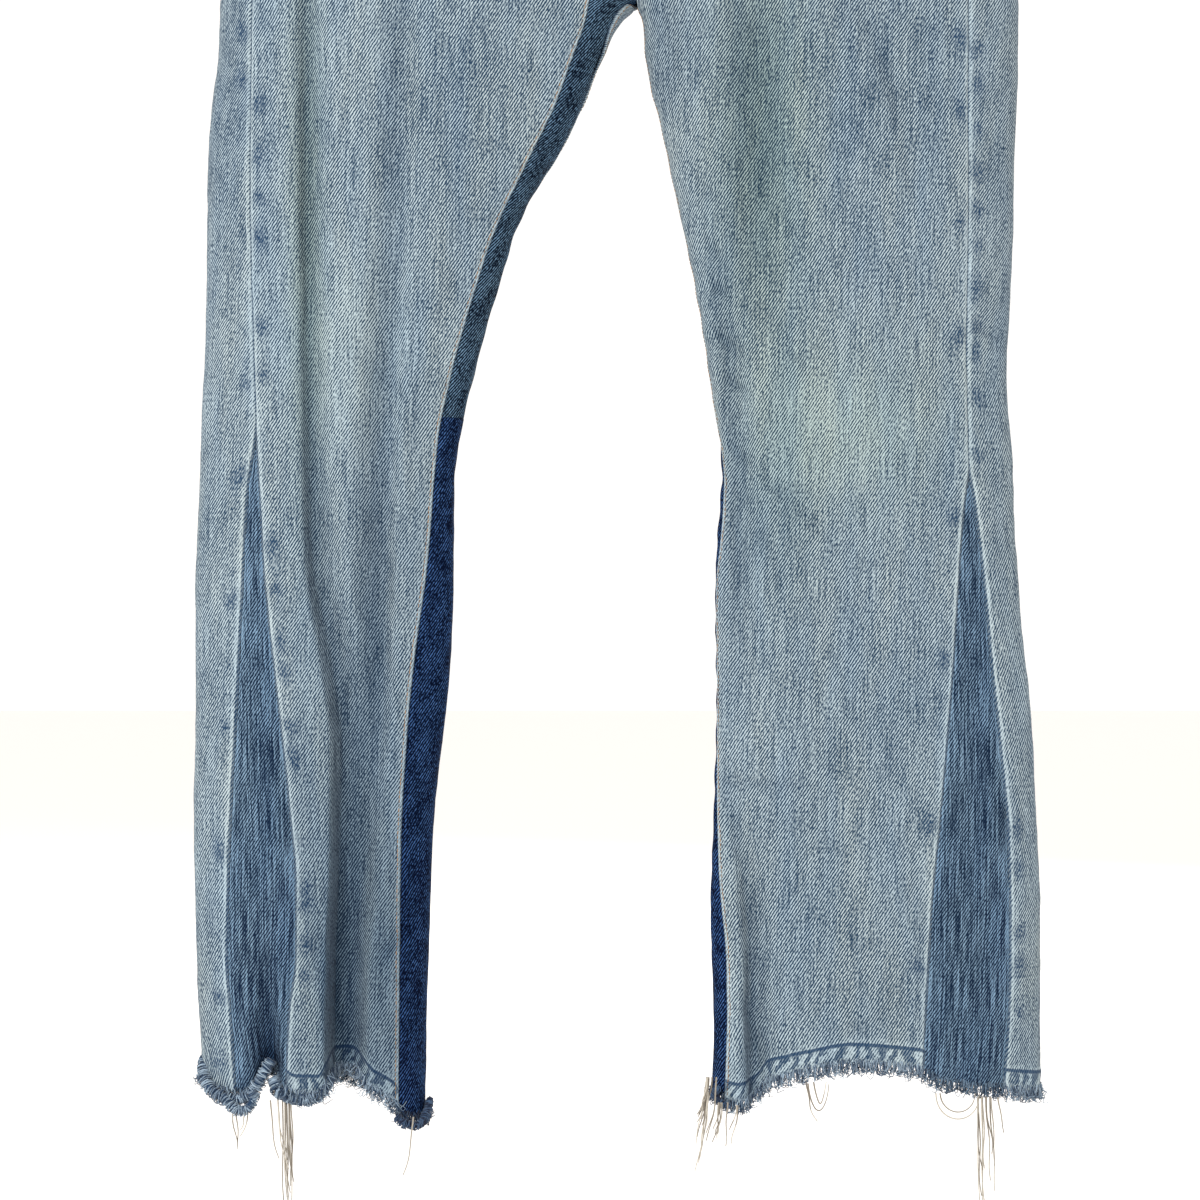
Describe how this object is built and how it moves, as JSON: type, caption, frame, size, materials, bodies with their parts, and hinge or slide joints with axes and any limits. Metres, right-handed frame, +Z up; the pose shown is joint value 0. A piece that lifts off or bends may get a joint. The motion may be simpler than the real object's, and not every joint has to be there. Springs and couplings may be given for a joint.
{
  "type": "flared jeans",
  "caption": "Hanging flared denim jeans with let-in outseam godets, dark inseam strips and frayed raw hems.",
  "frame": {"origin": "middle of the waist opening, level with the waistband's top edge, where the garment is held", "axes": "+Z up along the legs, the front faces -Y, the wearer's right leg lies on the -X side"},
  "size_m": [0.6153, 0.0878, 1.1407],
  "materials": {
    "light_denim": "washed light blue twill",
    "mid_denim": "streaky mid blue twill",
    "worn_dark_denim": "worn dark blue twill",
    "dark_denim": "dark indigo twill",
    "frayed_yarn": "loose white and blue yarn ends",
    "button_metal": "dull worn brass"
  },
  "bodies": {
    "root": {"front_right": "light_denim", "front_left": "light_denim", "back_right": "light_denim", "back_left": "light_denim", "yoke_right": "light_denim", "yoke_left": "light_denim", "waistband": "light_denim", "pocket_facing_right": "light_denim", "pocket_facing_left": "light_denim", "back_pocket_right": "light_denim", "back_pocket_left": "light_denim", "belt_loop_1": "light_denim", "belt_loop_2": "light_denim", "belt_loop_3": "light_denim", "belt_loop_4": "light_denim", "belt_loop_5": "light_denim", "godet_right": "mid_denim", "godet_left": "mid_denim", "inseam_strip_right_upper": "worn_dark_denim", "inseam_strip_right_lower": "dark_denim", "inseam_strip_left_upper": "worn_dark_denim", "inseam_strip_left_lower": "dark_denim", "fringe_right": "frayed_yarn", "fringe_left": "frayed_yarn", "waist_button": "button_metal"}
  },
  "joints": []
}
